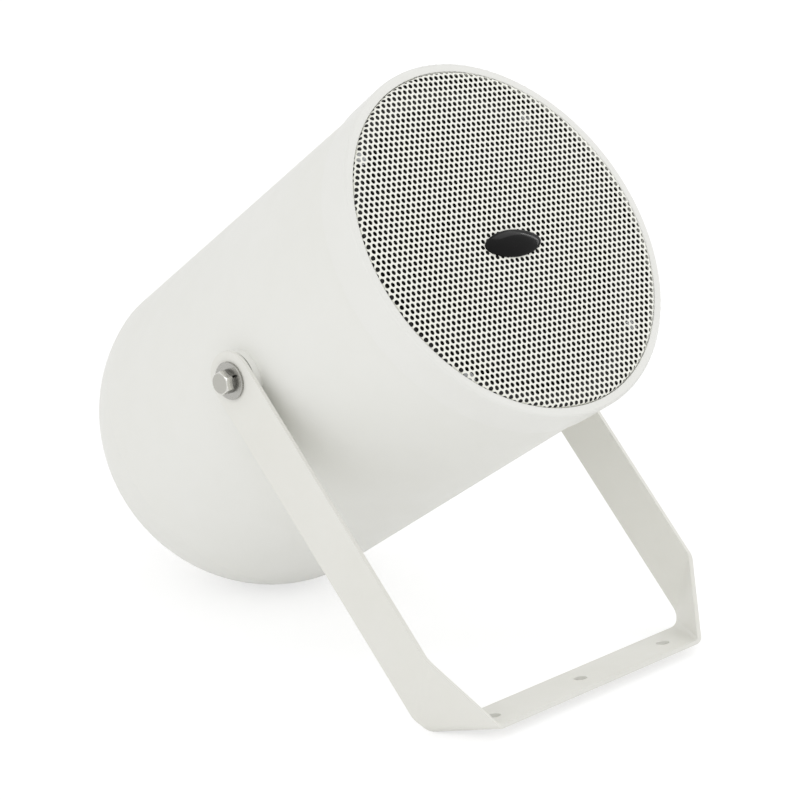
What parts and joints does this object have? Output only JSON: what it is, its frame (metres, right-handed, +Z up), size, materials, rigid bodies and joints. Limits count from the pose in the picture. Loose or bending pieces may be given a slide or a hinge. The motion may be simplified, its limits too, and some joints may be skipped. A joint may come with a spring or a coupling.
{
  "type": "public address speaker",
  "caption": "Round sound projector with a perforated front grille, a domed rear and a folded bracket that tilts it on two side bolts, for speech and music over a line.",
  "frame": {"origin": "centre of the standing speaker's box, on the floor", "axes": "+Z up, +X along the bracket's pivot axis, the grille faces -Y and up"},
  "size_m": [0.201, 0.306, 0.2789],
  "materials": {
    "housing_abs": "white moulded ABS, fine satin",
    "grille_enamel": "white stoved enamel",
    "badge_black": "gloss black",
    "bracket_enamel": "off-white powder coat",
    "stainless": "plain stainless",
    "nylon": "black nylon",
    "brass": "plain brass",
    "foam_gasket": "black foam",
    "basket_black": "black stoved",
    "roll_rubber": "matt black",
    "cone_paper": "dark pressed paper",
    "spider_cloth": "treated cloth",
    "former_foil": "plain foil",
    "copper_wire": "enamelled copper",
    "zinc_steel": "bright zinc plate",
    "ferrite": "ground ferrite",
    "core_iron": "varnished laminations",
    "winding_tape": "yellow tape",
    "gland_nylon": "white nylon",
    "gland_rubber": "black rubber"
  },
  "bodies": {
    "speaker": {"front_collar": "housing_abs", "housing_shell": "housing_abs", "driver_gasket": "foam_gasket", "driver_basket": "basket_black", "driver_screws": "zinc_steel", "top_plate": "zinc_steel", "magnet": "ferrite", "yoke": "zinc_steel", "surround": "roll_rubber", "spider": "spider_cloth", "grille": "grille_enamel", "badge": "badge_black", "pivot_inserts": "brass", "friction_washers": "nylon", "flat_washers": "stainless", "spring_washers": "stainless", "pivot_bolts": "stainless", "transformer_core": "core_iron", "transformer_coil": "winding_tape", "transformer_clamp": "zinc_steel", "transformer_screws": "zinc_steel", "gland_body": "gland_nylon", "gland_nut": "gland_nylon", "gland_seal": "gland_rubber", "gland_locknut": "gland_nylon"},
    "bracket": {"u_bracket": "bracket_enamel"},
    "cone_assembly": {"cone": "cone_paper", "dust_cap": "cone_paper", "coil_former": "former_foil", "voice_coil": "copper_wire"}
  },
  "joints": [
    {"name": "bracket_tilt", "type": "hinge", "parent": "speaker", "child": "bracket", "pos_m": [0, -0.00198, 0.1408], "axis": [1, 0, 0], "range_deg": [-95, 95]},
    {"name": "cone_stroke", "type": "slide", "parent": "speaker", "child": "cone_assembly", "axis": [0, -0.7882, 0.6154], "range_m": [-0.003, 0.003], "stiffness_N_per_m": 3000, "deforming": ["surround", "spider"]}
  ]
}
